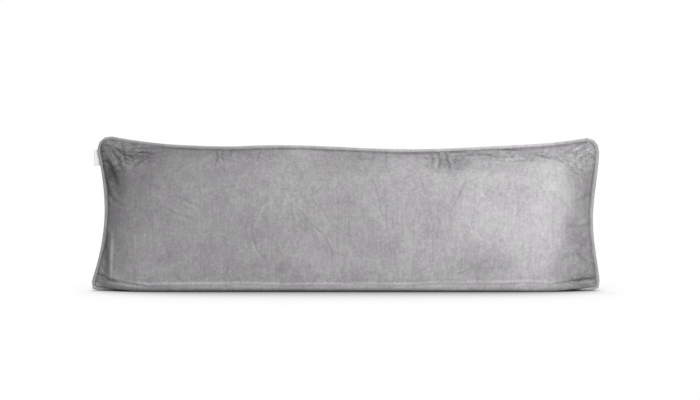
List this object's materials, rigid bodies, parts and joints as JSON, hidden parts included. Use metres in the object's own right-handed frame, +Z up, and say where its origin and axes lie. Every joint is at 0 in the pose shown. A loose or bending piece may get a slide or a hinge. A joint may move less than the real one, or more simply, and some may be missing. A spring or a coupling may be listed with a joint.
{
  "type": "piped velvet lumbar cushion",
  "caption": "Long rectangular velvet cushion with matching piping, a blank side label, a hidden zip across the back and a removable fibre-filled pad.",
  "frame": {"origin": "middle of the cushion's underside, level with the floor", "axes": "+X along the length, -Y towards the front face, +Z up as it stands on its long edge"},
  "size_m": [0.9999, 0.111, 0.3031],
  "materials": {
    "velvet": "crushed velvet",
    "piping_cord": "matte",
    "zip_tape": "woven, matte",
    "zip_coil": "satin",
    "zip_metal": "satin",
    "thread": "matte",
    "label": "woven, blank",
    "pad_cloth": "matte",
    "fibre": "matte"
  },
  "bodies": {
    "cushion": {"front_panel": "velvet", "back_panel_upper": "velvet", "back_panel_lower": "velvet", "piping_strip": "velvet", "piping_cord": "piping_cord", "side_label": "label", "care_label": "label", "zip_tape_upper": "zip_tape", "zip_tape_lower": "zip_tape", "zip_coil_upper": "zip_coil", "zip_coil_lower": "zip_coil", "zip_top_stops": "zip_metal", "zip_bottom_stop": "zip_metal", "zip_stitching_upper": "thread", "zip_stitching_lower": "thread", "pad_case_front": "pad_cloth", "pad_case_back": "pad_cloth", "fibre_filling": "fibre"},
    "slider": {"zip_slider": "zip_metal"},
    "pull": {"zip_pull": "zip_metal"}
  },
  "joints": [
    {"name": "zip_slide", "type": "slide", "parent": "cushion", "child": "slider", "axis": [-1, 0, 0], "range_m": [0, 0.55], "deforming": ["zip_coil_upper", "zip_coil_lower"]},
    {"name": "pull_swing", "type": "hinge", "parent": "slider", "child": "pull", "pos_m": [0.2767, 0.05523, 0.06982], "axis": [0, -0.0707, -0.9975], "range_deg": [0, 175]}
  ]
}
